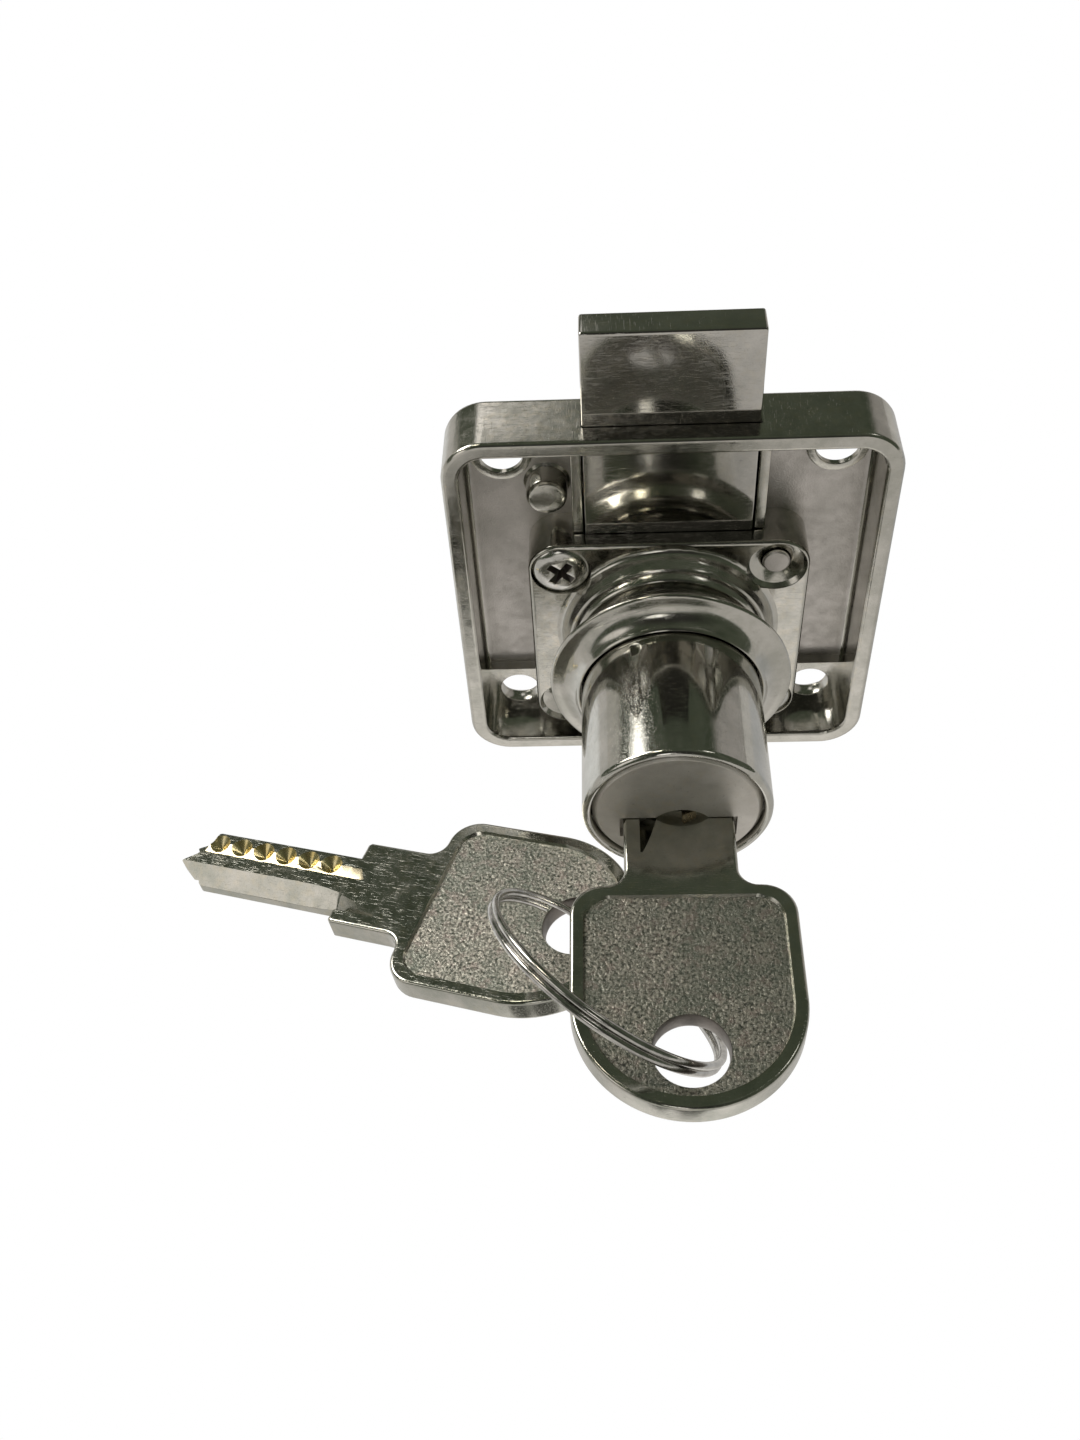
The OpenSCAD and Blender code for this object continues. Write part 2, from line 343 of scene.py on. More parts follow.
WORN = (0.82, 0.66, 0.38)  # brass showing at rubbed edges


def polished(name, dark, light, r0=0.07, r1=0.2, wave=0.010, scratch=0.0016, worn=0.12, metal=1.0):
    """Plated metal: soft waviness from the casting, hairline scratches, smears, worn edges."""
    n = Nodes(name)
    tone = n.span(n.noise(0.35, 4, 0.6), 0.35, 0.65, 0, 1)
    col = n.mix(tone, dark, light)
    specks = n.span(n.noise(3.2, 6, 0.7), 0.60, 0.72, 0, 0.55)
    col = n.mix(specks, col, tuple(c * 0.55 for c in dark))
    wear = n.math("MULTIPLY", n.edges(), n.span(n.noise(1.3, 3), 0.45, 0.7, 0, 1))
    col = n.mix(n.math("MULTIPLY", wear, worn), col, WORN)
    lines = n.noise(2.2, 2, 0.5, n.mapped(n.co, (0.35, 9, 9), (0, 20, 35)))
    lines2 = n.noise(2.0, 2, 0.5, n.mapped(n.co, (8, 0.4, 8), (30, 0, -20)))
    smear = n.noise(0.8, 5, 0.65, None, 0.8)
    rough = n.math("ADD", n.span(smear, 0.35, 0.7, r0, r1), n.span(lines, 0.62, 0.72, 0, 0.06))
    b = n.bump(n.noise(0.55, 2, 0.4), wave)
    b = n.bump(n.span(lines, 0.60, 0.70, 0, 1), scratch, b)
    b = n.bump(n.span(lines2, 0.62, 0.70, 0, 1), scratch, b)
    b = n.bump(n.noise(9, 3), 0.0010, b)
    return n.set(Base_Color=col, Metallic=metal, Roughness=rough, Normal=b)


def satin(name, dark, light, grain=7.0, depth=0.010, r0=0.3, r1=0.45):
    """Cast face left as it came: fine even grain, broad smudges."""
    n = Nodes(name)
    col = n.mix(n.span(n.noise(0.3, 5, 0.6), 0.35, 0.65, 0, 1), dark, light)
    col = n.mix(n.span(n.noise(grain, 4, 0.7), 0.55, 0.75, 0, 0.4), col, tuple(c * 0.6 for c in dark))
    rough = n.span(n.noise(1.1, 4), 0.3, 0.7, r0, r1)
    b = n.bump(n.noise(grain, 4, 0.65), depth)
    b = n.bump(n.cells(grain * 0.8), depth * 0.6, b)
    return n.set(Base_Color=col, Metallic=1.0, Roughness=rough, Normal=b)


def pebbled(name):
    """The sunk field of a key's bow: an even pebble, with painted shade in its hollows, painted light on
    its tops and painted glints on its fine grain.
    """
    n = Nodes(name)
    grit_and_shade = n.noise(3.4, 4, 0.7, None, 0.3)
    fine = n.noise(7.5, 3, 0.6)
    peb = n.cells(3.6, "SMOOTH_F1")
    mott = n.noise(0.30, 3, 0.6)
    # painted shade and light: the grit's hollows are darkened and its tops lightened
    col = n.mix(n.span(grit_and_shade, 0.40, 0.60, 0, 1), (0.080, 0.084, 0.072), (0.55, 0.52, 0.46))
    col = n.mix(n.span(mott, 0.40, 0.60, 0, 0.55), col, (0.15, 0.175, 0.145))
    col = n.mix(n.span(n.noise(0.9, 3, 0.6), 0.52, 0.68, 0, 0.40), col, (0.40, 0.31, 0.29))
    # painted glints: near-white specks on the fine grain stand in for small highlights
    col = n.mix(n.span(fine, 0.58, 0.70, 0, 0.8), col, (0.95, 0.92, 0.86))
    rough = n.span(grit_and_shade, 0.35, 0.65, 0.54, 0.34)
    b = n.bump(grit_and_shade, 0.060)
    b = n.bump(peb, 0.035, b)
    b = n.bump(fine, 0.016, b)
    return n.set(Base_Color=col, Metallic=0.92, Roughness=rough, Normal=b)


def turned(name, dark, light, r0=0.18, r1=0.32, pitch=5.0, axis=(1, 1, 1)):
    """Turned or drawn metal with fine tool lines."""
    n = Nodes(name)
    col = n.mix(n.span(n.noise(0.9, 4), 0.35, 0.65, 0, 1), dark, light)
    ln = n.noise(pitch, 2, 0.5, n.mapped(n.co, axis))
    rough = n.span(ln, 0.3, 0.7, r0, r1)
    b = n.bump(ln, 0.004)
    b = n.bump(n.noise(0.9, 2), 0.012, b)
    return n.set(Base_Color=col, Metallic=1.0, Roughness=rough, Normal=b)


NI_D, NI_L = (0.47, 0.465, 0.42), (0.60, 0.585, 0.54)
M = {
    "plate_nickel": polished("plate_nickel", NI_D, NI_L, 0.09, 0.24, 0.016),
    "tray_satin": satin("tray_satin", (0.47, 0.45, 0.42), (0.60, 0.57, 0.54), 7.0, 0.016),
    "housing_nickel": polished("housing_nickel", NI_D, NI_L, 0.07, 0.20, 0.016),
    "sleeve_nickel": polished("sleeve_nickel", (0.50, 0.50, 0.46), (0.62, 0.61, 0.57), 0.04, 0.09,
                              wave=0.006),
    "trim_nickel": polished("trim_nickel", NI_D, NI_L, 0.07, 0.18, 0.008),
    "bolt_nickel": polished("bolt_nickel", (0.50, 0.49, 0.46), (0.60, 0.585, 0.55), 0.02, 0.07,
                            wave=0.0015, scratch=0.0007),
    "plug_nickel": polished("plug_nickel", (0.66, 0.63, 0.58), (0.80, 0.77, 0.72), 0.36, 0.50,
                            wave=0.008, metal=0.6),
    "screw_nickel": polished("screw_nickel", (0.52, 0.52, 0.49), (0.66, 0.65, 0.62), 0.08, 0.2,
                             wave=0.006),
    "key_nickel": polished("key_nickel", (0.44, 0.45, 0.40), (0.60, 0.59, 0.54), 0.07, 0.18,
                           wave=0.008),
    "key_pebble": pebbled("key_pebble"),
    # painted shade: a dark satin for the wall of the key's hole and the screws' cross recesses, where
    # shade falls
    "hollow_painted_shade": satin("hollow_painted_shade", (0.13, 0.12, 0.11), (0.24, 0.22, 0.20), 5.0),
    "key_groove": turned("key_groove", (0.44, 0.38, 0.26), (0.62, 0.55, 0.40), 0.22, 0.36, 9.0),
    "key_brass": turned("key_brass", (0.84, 0.66, 0.28), (0.98, 0.86, 0.52), 0.16, 0.30, 9.0),
    "ring_steel": turned("ring_steel", (0.46, 0.45, 0.43), (0.66, 0.65, 0.62), 0.10, 0.22, 4.0),
    "pin_steel": turned("pin_steel", (0.55, 0.55, 0.55), (0.70, 0.70, 0.70)),
    "pin_brass": turned("pin_brass", (0.70, 0.55, 0.26), (0.86, 0.72, 0.40)),
    "spring_bronze": turned("spring_bronze", (0.66, 0.48, 0.26), (0.80, 0.62, 0.36)),
    "spring_steel": turned("spring_steel", (0.16, 0.16, 0.17), (0.30, 0.30, 0.31), 0.25, 0.4),
    "cam_zinc": satin("cam_zinc", (0.46, 0.47, 0.48), (0.60, 0.60, 0.60), 5.0),
}


def place(o, name, body, node, mats):
    """Names the piece, gives it its materials, hangs it on its body and hides the CAD node that it
    replaces.
    """
    o.name = name
    o.data.name = name
    o.data.materials.clear()
    for m in mats:
        o.data.materials.append(M[m])
    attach(o, body)
    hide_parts(node)
    return o


def paint(o, index, test):
    """Gives faces whose centre and normal (mm, own frame) pass the test another material."""
    for f in o.data.polygons:
        if test(f.center / K, f.normal):
            f.material_index = index


# ---------------------------------------------------------------- back plate
SCREW_EARS = ((-EAR_X, EAR_HIGH), (EAR_X, EAR_LOW))
STUD_EARS = ((-EAR_X, EAR_LOW), (EAR_X, EAR_HIGH))
SUNK_Y = FLOOR_Y + 0.05  # foot of what stands on the tray's floor, a little inside it
CORNER_HOLE = 2.0
STUD_TOP = 1.0

# The tray's wall from its back edge round the rim to the floor: (inset from the outline, y).
wall = [(0.55, 6.5), (0.28, 6.44), (0.08, 6.25), (0, 5.95), (0, 0.42), (0.07, 0.18), (0.22, 0.04),
        (0.45, 0), (1.2, 0), (1.42, 0.05), (1.55, 0.18), (1.6, 0.4), (1.66, 4.55), (1.76, 4.92),
        (2.0, 5.13), (2.35, FLOOR_Y)]
tray = loft("tray", [rrect(PLATE_HALF, PLATE_LOW, PLATE_HIGH, 4.0, y, i, 14) for i, y in wall])
corners = [(i * HOLE_OFF, PLATE_MID + j * HOLE_OFF) for i in (-1, 1) for j in (-1, 1)]
cut(tray, [box((-BRIDGE_HALF, 2.0, 20.3), (BRIDGE_HALF, FLOOR_Y + 0.01, 24))]
    + [bar(CORNER_HOLE, 4, 8, x, z) for x, z in corners]
    + [bar(CORNER_HOLE, 5.5, 6.51, x, z, 3.0) for x, z in corners]
    + [bar(1.3, 4, 8, x, z) for x, z in SCREW_EARS])
soften(tray, 0.12, 2, 50)

land = [(2.0, SUNK_Y), (2.0, 5.02), (2.08, 4.95), (2.6, 4.95), (2.75, 5.0), (2.85, SUNK_Y)]
stud = [(0, STUD_TOP), (1.12, STUD_TOP), (1.26, 1.1), (1.3, 1.25), (1.3, SUNK_Y), (0, SUNK_Y)]
post = [(0, 2.6), (1.3, 2.6), (1.6, 2.68), (1.8, 2.9), (1.88, 3.2), (1.9, 5.0), (2.2, SUNK_Y), (0, SUNK_Y)]
extra = []
for i in (-1, 1):
    rib = box((i * 8.25 - 0.5, 2.2, 10.9), (i * 8.25 + 0.5, SUNK_Y, 21.35))
    extra.append(soften(rib, 0.18, 2))
    extra.append(lathe("land", land, 48, i * HOLE_OFF, PLATE_MID + HOLE_OFF))
    pad = box((i * 15.78 - 2.7, 4.1, -15.6), (i * 15.78 + 2.7, SUNK_Y, -9.2))
    cut(pad, [bar(CORNER_HOLE, 3, 7, i * HOLE_OFF, PLATE_MID - HOLE_OFF)])
    extra.append(soften(pad, 0.15, 2, 50))
extra += [lathe("stud", stud, 32, x, z, tube=False) for x, z in STUD_EARS]
extra.append(lathe("post", post, 48, -11, 14.6, tube=False))
join(tray, extra)
shade(tray)
place(tray, "tray_piece", "lock_case", "back_plate", ["plate_nickel", "tray_satin"])


def on_floor(c, n):
    """The tray's satin floor; c is a face's centre and n its normal."""
    return n.y < -0.98 and c.y > 5.1 and abs(c.x) < 18 and -15 < c.z < 21


def on_stud(c, n):
    beside = min(abs(c.z - EAR_HIGH), abs(c.z - EAR_LOW))
    return n.y < -0.5 and 0.9 < c.y < 1.3 and beside < 1.35


paint(tray, 1, on_floor)
paint(tray, 1, on_stud)

# ---------------------------------------------------------------- housing
NOSE_FRONT, BARREL_FRONT, SHOULDER_Y = -22, -20.35, -2.4
BARREL_R, BARREL_BORE, PLUG_BORE = 7.75, 7.1, 5.36

rim = [(0, FLOOR_Y), (0, 0.8), (0.05, 0.62), (0.16, 0.48), (0.34, 0.41), (0.5, 0.4)]
flange = loft("flange", [rrect(13, -13.4, 10.8, 3.05, y, i, 10) for i, y in rim])
dish = [(HEAD_BORE, -1), (HEAD_BORE, 0.5), (2.5, 0.95), (1.42, 1.4), (1.42, 7)]
cut(flange, [box((-BRIDGE_HALF, 2.0, -15), (BRIDGE_HALF, 6, 12)), bar(9.3, -1, 3, seg=96)]
    + [bar(HEAD_BORE, -1, 1.5, x, z) for x, z in SCREW_EARS]
    + [bar(1.45, 0, 7, x, z, seg=32) for x, z in SCREW_EARS]
    + [lathe("cut", dish, 48, x, z, tube=False) for x, z in STUD_EARS])
soften(flange, 0.14, 2, 50)

# The boss swells out of the flange, then steps in to the barrel that the sleeve covers.
boss = [(10.75, 0.43), (10.35, 0.36), (10.1, 0.22), (9.98, 0.02), (9.84, -0.36), (9.66, -0.76),
        (9.44, -1.14), (9.38, -1.3), (9.2, -1.42), (9.0, -2.1), (8.85, -2.3), (8.6, SHOULDER_Y)]
inside = [(PLUG_BORE, BARREL_FRONT), (PLUG_BORE, -3), (BARREL_BORE, -3), (BARREL_BORE, 2.0)]
barrel = lathe("barrel", boss + [(BARREL_R, SHOULDER_Y), (BARREL_R, BARREL_FRONT)] + inside
               + [(9.6, 2.0), (9.6, 0.6)], 144)
for k in range(PINS):
    cut(barrel, [drill(PIN_BORE, 0, 9, PIN_X, PIN_Y0 + PITCH * k, 48)])
cut(barrel, [bar(HEAD_BORE, -3, 1.6, i * EAR_X, z) for i in (-1, 1) for z in (EAR_HIGH, EAR_LOW)])
join(flange, [barrel])
shade(flange)
place(flange, "housing_piece", "lock_case", "cylinder_shell", ["housing_nickel"])

# ---------------------------------------------------------------- nose sleeve, with one small pit
SLEEVE_R, LIP_R, SLEEVE_BORE = 8.25, 7.48, 7.78
lip = [(SLEEVE_R, -21.45), (8.2, -21.68), (8.05, -21.88), (7.85, -21.98), (7.74, NOSE_FRONT),
       (7.6, -21.93), (7.5, -21.75), (LIP_R, -21.6)]
bore = [(LIP_R, -20.42), (SLEEVE_BORE, -20.42), (SLEEVE_BORE, -2.42), (8.18, -2.42)]
sleeve = lathe("sleeve", [(SLEEVE_R, -2.5)] + lip + bore, 160)
cut(sleeve, [drill(0.7, 7.3, 9.2, -3.5, -9.5, 24)])
soften(sleeve, 0.1, 2, 60)
shade(sleeve)
place(sleeve, "sleeve_piece", "lock_case", "nose_sleeve", ["sleeve_nickel"])

# ---------------------------------------------------------------- housing screws
HEAD_R, HEAD_FOOT, THREAD_R, TIP_Y = 2.68, 1.5, 1.22, 6.3
head = [(0, 0.15), (1.4, 0.16), (1.95, 0.24), (2.4, 0.42), (2.62, 0.66), (HEAD_R, 0.8), (HEAD_R, 1.48)]
shaft = [(2.6, HEAD_FOOT), (THREAD_R, HEAD_FOOT), (THREAD_R, 6.1), (1.0, TIP_Y), (0, TIP_Y)]


def wing(turned_by):
    """One slot of the cross recess, narrowing inwards."""
    loops = [[(-hx, y, -hz), (hx, y, -hz), (hx, y, hz), (-hx, y, hz)]
             for hx, y, hz in ((1.8, -0.3, 0.44), (0.5, 1.25, 0.16))]
    w = loft("wing", loops)
    w.data.transform(Matrix.Rotation(math.radians(turned_by), 4, "Y"))
    return w


for i, (x, z) in enumerate(SCREW_EARS):
    s = lathe("screw", head + shaft, 64, tube=False)
    for a in (38, 128):
        cut(s, [wing(a)])
    soften(s, 0.05, 2, 45)
    s.data.transform(Matrix.Translation(Vector((x, 0, z)) * K))
    shade(s)
    place(s, f"screw_piece_{i + 1}", "lock_case", f"housing_screw_{i + 1}",
          ["screw_nickel", "hollow_painted_shade"])

    def in_recess(c, n):
        return math.hypot(c.x - x, c.z - z) < 1.8 and c.y < 1.4 and (n.y > -0.8 or c.y > 0.5)
    # painted shade: the cross recess gets the dark material
    paint(s, 1, in_recess)

# ---------------------------------------------------------------- trim ring
# A cone at the back, a round brim, a dished front that runs down to the nose.
cone = [(8.36, -4.1), (8.45, -4.0), (9.3, -4.0), (9.62, -4.12), (9.8, -4.4), (10.1, -5.1), (10.6, -5.72)]
brim = [(11.0, -6.05), (11.14, -6.25), (11.15, -6.42), (11.05, -6.55), (10.85, -6.62)]
front = [(10.4, -6.68), (9.9, -6.82), (9.45, -7.05), (9.1, -7.35), (8.85, -7.68), (8.7, -8.0),
         (8.6, -8.22), (8.5, -8.28), (8.4, -8.22), (8.35, -8.05)]
ring = lathe("ring", cone + brim + front, 160)
shade(ring, 50)
place(ring, "trim_ring_piece", "trim_ring", "trim_ring", ["trim_nickel"])

# ---------------------------------------------------------------- bolt
BOLT_HALF, BOLT_LOW, BOLT_TOP = 7.65, -5.2, 32.2
bolt = box((-BOLT_HALF, 2.1, BOLT_LOW), (BOLT_HALF, 5.1, BOLT_TOP))
drive_slot = loft("slot", [rrect(6.15, 2.35, 6.95, 0.5, y, 0, 4) for y in (0, 8)])
cut(bolt, [drive_slot])
soften(bolt, 0.28, 3)
shade(bolt)
place(bolt, "bolt_piece", "bolt", "bolt", ["bolt_nickel"])

# ---------------------------------------------------------------- plug
PLUG_R, PLUG_HEAD_R, PLUG_FACE, PLUG_END = 5.3, 7.4, -21.75, -1.3
RECESS_Y = -20.9
KX, KZ = KEY_AT[0], KEY_AT[2]
face = [(0, PLUG_FACE), (6.88, PLUG_FACE), (7.0, -21.7), (7.36, -21.26), (PLUG_HEAD_R, -21.1)]
body = [(PLUG_HEAD_R, -20.37), (PLUG_R, -20.37), (PLUG_R, -2.96)]
clip_groove = [(4.5, -2.96), (4.5, -2.05), (PLUG_R, -2.05), (PLUG_R, PLUG_END), (0, PLUG_END)]
plug = lathe("plug", face + body + clip_groove, 128, tube=False)
recess = box((KX - 5.1, -23, KZ - 1.3), (KX + 5.1, RECESS_Y, KZ + 1.3))
keyway = box((KX - 2.85, NOSE_FRONT, KZ - 1.3), (KX + 2.85, -2.97, KZ + 1.3))
cut(plug, [recess, bar(2.95, -23, RECESS_Y, 0.4, KZ - 0.6), keyway])
for k in range(PINS):
    cut(plug, [drill(PIN_BORE, -0.9, 9, PIN_X, PIN_Y0 + PITCH * k, 32)])
soften(plug, 0.1, 2, 55)
join(plug, [box((-2.3, -1.4, -2.3), (2.3, 0.5, 2.3))])
shade(plug)
place(plug, "plug_piece", "plug", "plug", ["plug_nickel"])

# ---------------------------------------------------------------- keys
# A key lies in X and Y with its blade towards +Y and its bow round (0, BOW_Y).
SHANK = 7.65  # where the shank ends and the blade begins
BLADE_HALF, BLADE_END = 2.75, 27
BOW_R, BOW_Y, EYE_Y = 9.4, -10.8, -15.2
DIMPLE_X, DIMPLE_Y = 1.35, 10.2
# The blade's long 45 degree bevel: (y, distance of the bevel's edge from the middle).
BEVEL = [(3.3, 3.2), (3.6, 3.04), (4.2, 2.78), (5, 2.47), (6, 2.14), (7, 1.86), (8, 1.6), (9, 1.4),
         (10, 1.29), (11, 1.25)]
# What is cut off the blade's end in one half of its thickness; the other half has it turned over.
TIP = [(3.6, 22.9), (2.75, 23.0), (2.6, 23.3), (1.2, 23.75), (0.4, 24.0), (-0.2, 24.4), (-0.7, 24.95),
       (-1.05, 25.35), (-1.25, 25.5), (-1.42, 25.3), (-2.75, 23.3), (-3.6, 22.0), (-3.6, 30), (3.6, 30)]
# The hole for the ring, with a soft mouth on both faces: (radius, z).
EYE = [(3.5, -1.35), (3.24, -1.12), (3.08, -0.85), (3.0, -0.5), (3.0, 0.5), (3.08, 0.85), (3.24, 1.12),
       (3.5, 1.35)]


def bow(m):
    """Outline of the bow's sunk field, m inside its edge."""
    s, r = 2.8 - m / 2, BOW_R - m
    return (arc(r - s, -m - s, s, 90, 0) + arc(0, BOW_Y, r, 0, -180, 40) + arc(-r + s, -m - s, s, 180, 90))


def outline():
    """The key's shank and bow, without the blade."""
    half = ([(0, SHANK), (4.5, SHANK), (4.8, SHANK - 0.3), (4.8, 1.6)]
            + arc(6.4, 1.6, 1.6, 180, 270, 8)[1:] + arc(6.6, -2.8, 2.8, 90, 0, 10)
            + arc(0, BOW_Y, BOW_R, 0, -90, 30))
    return half + [(-x, y) for x, y in reversed(half[1:-1])]


def blade():
    """A bar with one bevelled edge on each face and a notched tip."""
    flat, ease = 1.195, 0.09
    loops = []
    for y, x in [(SHANK - 0.4, 1.69)] + [p for p in BEVEL if p[0] > SHANK] + [(BLADE_END, 1.25)]:
        x = x - 0.01
        side = [(-x + ease, flat), (BLADE_HALF - ease, flat), (BLADE_HALF - 0.03, flat - 0.03),
                (BLADE_HALF, flat - ease), (BLADE_HALF, 1.55 - x + ease),
                (BLADE_HALF - 0.03, 1.55 - x - 0.02)]
        loops.append([(turn * px, y, turn * pz) for turn in (1, -1) for px, pz in side])
    b = loft("blade", loops)
    ends = [prism("tip", TIP, -0.01, 2), prism("tip", TIP, -0.01, 2)]
    ends[1].data.transform(Matrix.Rotation(math.pi, 4, "Y"))
    return cut(b, ends, flat=False)


def face_cutters():
    """What one face of a key loses: the sunk field, the bevel's runout, the groove, the dimples."""
    field = [[(x, y, z) for x, y in bow(m)] for m, z in ((1.22, 0.92), (1.06, 1.24), (1.06, 2))]
    runout = [[(1 - x, y, 2.2), (-3.4, y, x - 2.2), (-3.4, y, 2.2)] for y, x in BEVEL[:6] + [(7.66, 1.69)]]
    groove = [[(0.3, y, 2), (0.3, y, d), (0.45, y, d - 0.06), (1.72, y, 1.23), (1.72, y, 2)]
              for y, d in ((6.2, 1.27), (6.9, 1.08), (8, 0.96), (28, 0.93))]
    dimple = [(0.12, 0.42), (1.17, 1.213), (1.4, 1.4)]
    return ([loft("field", field), loft("runout", runout), loft("groove", groove)]
            + [upright(dimple, DIMPLE_X, DIMPLE_Y + PITCH * k, 28) for k in range(PINS)])


def key_mesh(name):
    """A whole key, at the origin."""
    o = prism(name, outline(), -KEY_T, KEY_T)
    soften(o, 0.34, 3, 50)
    cut(o, [blade()], "UNION", False)
    cutters = [upright(EYE, 0, EYE_Y, 64)]
    for turned_by in (0, 180):
        made = face_cutters()
        for c in made:
            c.data.transform(Matrix.Rotation(math.radians(turned_by), 4, "Y"))
        cutters += made
    cut(o, cutters)
    soften(o, 0.08, 2, 48)
    return o


def in_field(c, n):
    return abs(n.z) > 0.97 and 0.9 < abs(c.z) < 0.94 and c.y < -0.9


def in_groove(c, n):
    side = 1 if c.z > 0 else -1
    return 0.25 < c.x * side < 1.75 and c.y > 6 and 0.85 < abs(c.z) < 1.19


def in_dimple(c, n):
    side = 1 if c.z > 0 else -1
    near = min(math.hypot(c.x * side - DIMPLE_X, c.y - DIMPLE_Y - PITCH * k) for k in range(PINS))
    return near < 1.25 and 0.3 < abs(c.z) < 1.19 and c.x * side > 0.1 and abs(n.z) < 0.9


def in_eye(c, n):
    return math.hypot(c.x, c.y - EYE_Y) < 3.3 and abs(n.z) < 0.8


def finish_key(o, name, body, node):
    shade(o, 31)
    place(o, name, body, node,
          ["key_nickel", "key_pebble", "key_brass", "hollow_painted_shade", "key_groove"])
    paint(o, 1, in_field)
    paint(o, 4, in_groove)
    paint(o, 2, in_dimple)
    # painted shade: the wall of the key's hole gets the dark material
    paint(o, 3, in_eye)


key = key_mesh("key")
spare = key.copy()
spare.data = key.data.copy()
bpy.context.scene.collection.objects.link(spare)
key.location = Vector(KEY_AT) * K
spare.location = Vector(SPARE_AT) * K
spare.rotation_euler = Euler([math.radians(a) for a in SPARE_TURN], "XYZ")
finish_key(key, "key_piece", "key", "key")
finish_key(spare, "spare_key_piece", "spare_key", "spare_key")

# ---------------------------------------------------------------- split ring: one wire, two turns
RING_R, WIRE_R, STEPS = 11.1, 0.34, 240  # steps in one turn of the wire
GAP, SHIFT_LEN = 14, 22.0  # steps missing at the end; steps over which the wire changes sides
RISE = 0.335  # each turn's distance from the ring's middle plane
tilt = Euler([math.radians(a) for a in RING_TURN], "XYZ").to_matrix().to_4x4()
stand = Matrix.Translation(Vector(RING_AT)) @ tilt
route = []
for i in range(2 * STEPS - GAP):
    a = 2 * math.pi * i / STEPS + 1.2
    s = min(max((i - STEPS + 26) / SHIFT_LEN, 0), 1)
    h = -RISE + 2 * RISE * (3 * s * s - 2 * s ** 3)
    route.append(tuple(stand @ Vector((RING_R * math.cos(a), RING_R * math.sin(a), h))))
wire = sweep("wire", route, WIRE_R, 14)
shade(wire, 60)
place(wire, "split_ring_piece", "split_ring", "split_ring", ["ring_steel"])

# ---------------------------------------------------------------- inner pieces
COIL_R, COIL_WIRE, COIL_TURNS, COIL_STEPS = 0.79, 0.1, 3, 24
COIL_LOW, COIL_HIGH = 6.42 + COIL_WIRE, 7.35 - COIL_WIRE
for k in range(PINS):
    y = PIN_Y0 + PITCH * k
    last = COIL_TURNS * COIL_STEPS
    coil = []
    for i in range(last + 1):
        a = 2 * math.pi * i / COIL_STEPS
        z = COIL_LOW + (COIL_HIGH - COIL_LOW) * i / last
        coil.append((PIN_X + COIL_R * math.cos(a), y + COIL_R * math.sin(a), z))
    spring = sweep("coil", coil, COIL_WIRE, 8)
    shade(spring, 60)
    place(spring, f"spring_piece_{k + 1}", "lock_case", f"pin_spring_{k + 1}",
          ["spring_bronze"])

# The pins, the clip, the cam and its pin keep their CAD shape and get a material of their own.
slots = {s["node"]: s["material_slot"] for s in frame["record"]["subparts"]}
for n, o in frame["nodes"].items():
    if not o.hide_render:
        o.data.materials.clear()
        o.data.materials.append(M[slots[n]])
        if n in ("drive_cam", "drive_pin", "retaining_clip"):
            m = o.modifiers.new("edge", "BEVEL")
            m.width = 0.12 * K
            m.segments = 2
            m.limit_method = "ANGLE"
            m.angle_limit = math.radians(50)

# ---------------------------------------------------------------- stage
# The floor and the backdrop are white to the camera. In reflections they show a soft studio: a pale
# table, a lit band along the walls, a window behind on the left and a dim ceiling.


class Light(Nodes):
    """Emission built from soft blots of light; every input is in the units of the given coordinates."""

    def __init__(self, tree, co):
        self.t, self.co = tree, co

    def blot(self, at, inner, outer):
        d = self.t.nodes.new("ShaderNodeVectorMath")
        d.operation = "DISTANCE"
        self.t.links.new(self.co, d.inputs[0])
        d.inputs[1].default_value = at
        n = self.t.nodes.new("ShaderNodeMapRange")
        n.interpolation_type = "SMOOTHERSTEP"
        for k, v in (("From Min", inner), ("From Max", outer), ("To Min", 1.0), ("To Max", 0.0)):
            n.inputs[k].default_value = v
        self.t.links.new(d.outputs["Value"], n.inputs["Value"])
        return n.outputs[0]

    def seen_white(self, col, shader, strength):
        """White where the camera looks straight at it, the given colour in reflections."""
        lp = self.t.nodes.new("ShaderNodeLightPath")
        self.t.links.new(self.mix(lp.outputs["Is Camera Ray"], col, (1.0, 1.0, 1.0)), shader.inputs[0])
        shader.inputs[strength].default_value = 1.0


FAR, DOWN = 3000, -90
sheet = [(-FAR, -FAR, DOWN), (FAR, -FAR, DOWN), (FAR, FAR, DOWN), (-FAR, FAR, DOWN)]
floor = mesh_obj("floor", sheet, [(0, 1, 2, 3)])
fm = bpy.data.materials.new("floor_paper")
fm.use_nodes = True
ft = fm.node_tree
ft.nodes.clear()
tc = ft.nodes.new("ShaderNodeTexCoord")
L = Light(ft, tc.outputs["Object"])
col = L.mix(L.span(L.noise(4, 3), 0.3, 0.7, 0, 1), (0.55, 0.53, 0.50), (0.61, 0.59, 0.56))
for x, y, inner, outer, tint in (
        (-0.22, 0.10, 0.05, 0.26, (0.88, 0.88, 0.87)),  # light from the window on the left
        (0.26, 0.08, 0.08, 0.26, (0.50, 0.50, 0.50)),  # shade on the right
        (0.0, -0.072, 0.03, 0.065, (0.92, 0.89, 0.85)),  # painted pool of light on the paper in front of the lock
        (-0.005, -0.135, 0.015, 0.05, (0.32, 0.31, 0.29)),  # the keys' soft shadow
        (0.002, -0.108, 0.010, 0.024, (0.07, 0.07, 0.06)),  # the nose's and the main key's shadow
        (-0.030, -0.100, 0.008, 0.018, (0.10, 0.10, 0.09))):  # the spare key's shadow
    col = L.mix(L.blot((x, y, DOWN * K), inner, outer), col, tint)
em = ft.nodes.new("ShaderNodeEmission")
out = ft.nodes.new("ShaderNodeOutputMaterial")
ft.links.new(em.outputs[0], out.inputs[0])
L.seen_white(col, em, 1)
floor.data.materials.append(fm)

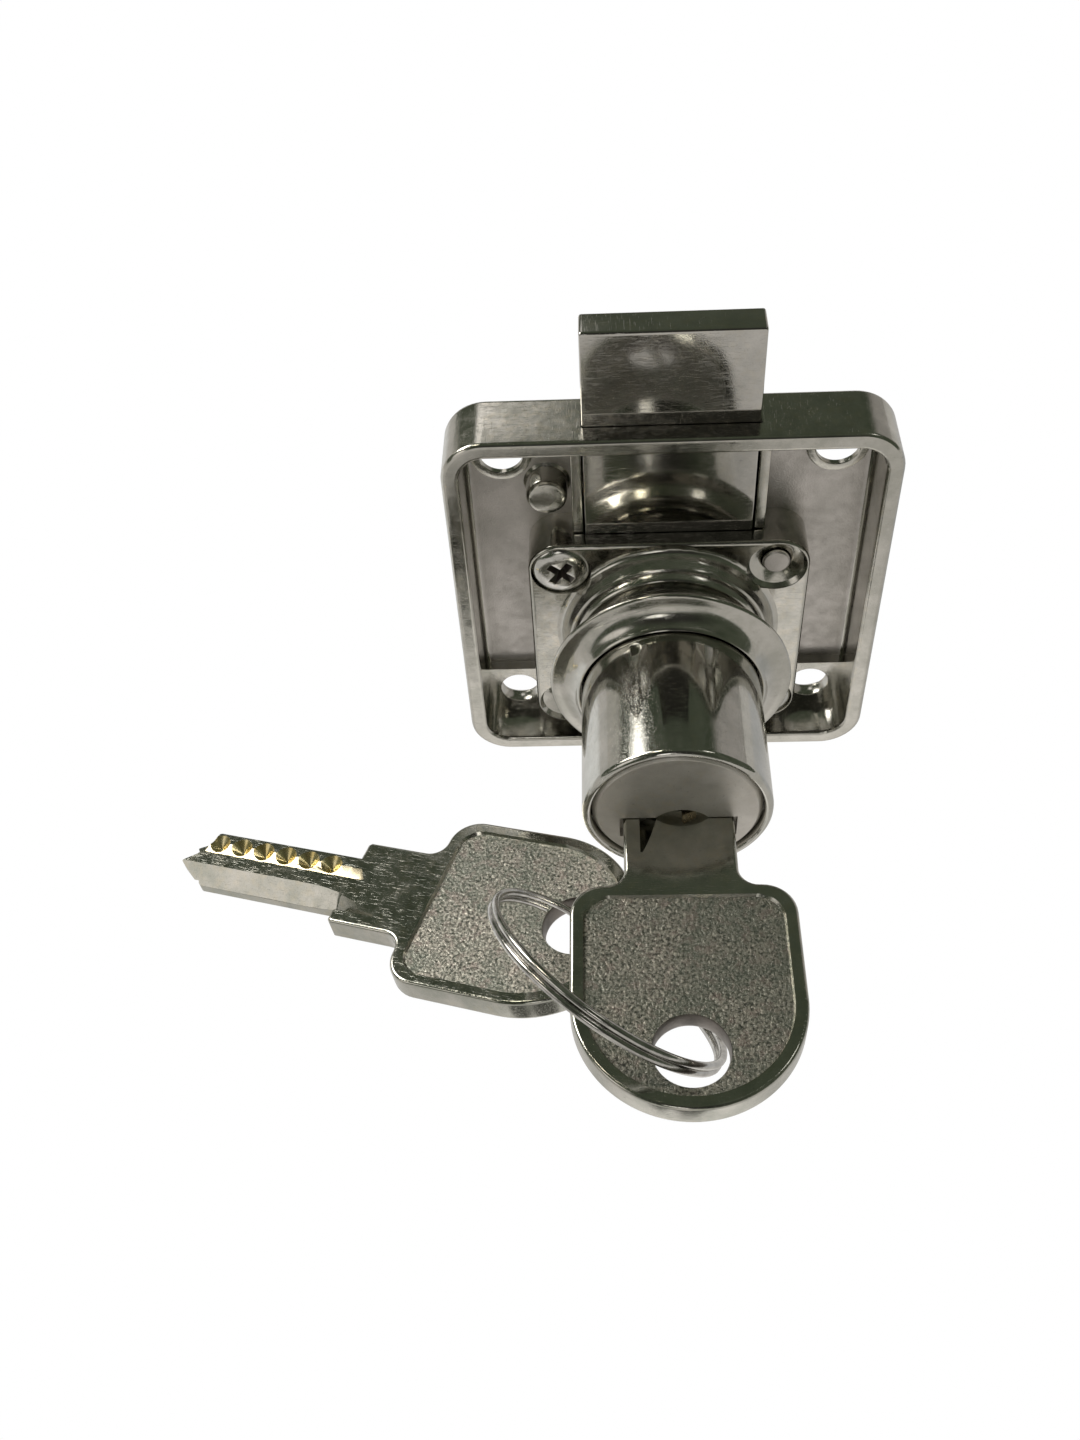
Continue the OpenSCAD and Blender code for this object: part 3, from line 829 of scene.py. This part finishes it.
world = bpy.data.worlds.new("studio")
bpy.context.scene.world = world
world.use_nodes = True
wt = world.node_tree
tc = wt.nodes.new("ShaderNodeTexCoord")
W = Light(wt, tc.outputs["Generated"])
col = W.mix(W.span(W.noise(2.5, 4, 0.6), 0.35, 0.65, 0, 1), (0.050, 0.062, 0.040), (0.095, 0.105, 0.078))
for way, inner, outer, tint in (
        ((0.0, -0.65, 0.60), 0.2, 0.75, (0.035, 0.035, 0.03)),  # the dark room behind the camera
        ((-0.72, 0.65, 0.08), 0.08, 0.26, (0.50, 0.48, 0.44)),  # wall on the left
        ((0.66, 0.65, 0.22), 0.20, 0.40, (0.36, 0.34, 0.32)),  # wall on the right
        ((0.0, -1.0, 0.02), 0.14, 0.42, (0.62, 0.60, 0.56)),  # the table's near edge
        ((-0.17, 0.80, 0.57), 0.07, 0.18, (1.25, 1.2, 1.15)),  # a pale strip over the back wall
        ((-0.66, 0.42, 0.62), 0.12, 0.34, (9.0, 8.7, 8.2)),  # the window
        ((-0.80, -0.41, 0.43), 0.15, 0.36, (1.0, 0.95, 0.90))):  # the window's light on a wall
    col = W.mix(W.blot(way, inner, outer), col, tint)
W.seen_white(col, wt.nodes["Background"], 1)


def lamp(name, way, size, watts, color, far=0.6):
    """A round soft lamp in the given direction."""
    d = bpy.data.lights.new(name, "AREA")
    d.shape = "DISK"
    d.size = size
    d.energy = watts
    d.color = color
    o = bpy.data.objects.new(name, d)
    o.location = Vector(way).normalized() * far
    o.rotation_euler = (-Vector(way)).to_track_quat("-Z", "Y").to_euler()
    bpy.context.scene.collection.objects.link(o)


WARM, DAY, PALE = (1.0, 0.93, 0.76), (1.0, 0.95, 0.84), (1.0, 0.97, 0.92)
lamp("ceiling_lamp", (-0.36, 0.14, 0.92), 0.10, 0.20, WARM)
lamp("window_lamp", (-0.72, 0.12, 0.68), 0.05, 0.10, DAY, 0.3)
lamp("front_lamp", (-0.15, -0.85, 0.50), 0.15, 0.10, PALE)
lamp("side_lamp", (0.55, 0.10, 0.83), 0.12, 0.07, PALE)

bpy.context.scene.view_settings.view_transform = "Standard"

# The camera stands about 14 cm away, in front of the lock and above it, with a wide lens.
cam = bpy.data.cameras.new("camera")
cam.sensor_width = 36.0
cam.lens = 35.7
cam.clip_start = 0.005
cam.clip_end = 20.0
co = bpy.data.objects.new("camera", cam)
to_right = Vector((0.99862, 0.01775, -0.04945))
to_top = Vector((0.01905, 0.75485, 0.65562))
ahead = Vector((-0.04897, 0.65566, -0.75347))
aim = Matrix((to_right, to_top, -ahead)).transposed().to_4x4()
co.matrix_world = Matrix.Translation((-0.005668, -0.096686, 0.098511)) @ aim
bpy.context.scene.collection.objects.link(co)
bpy.context.scene.camera = co
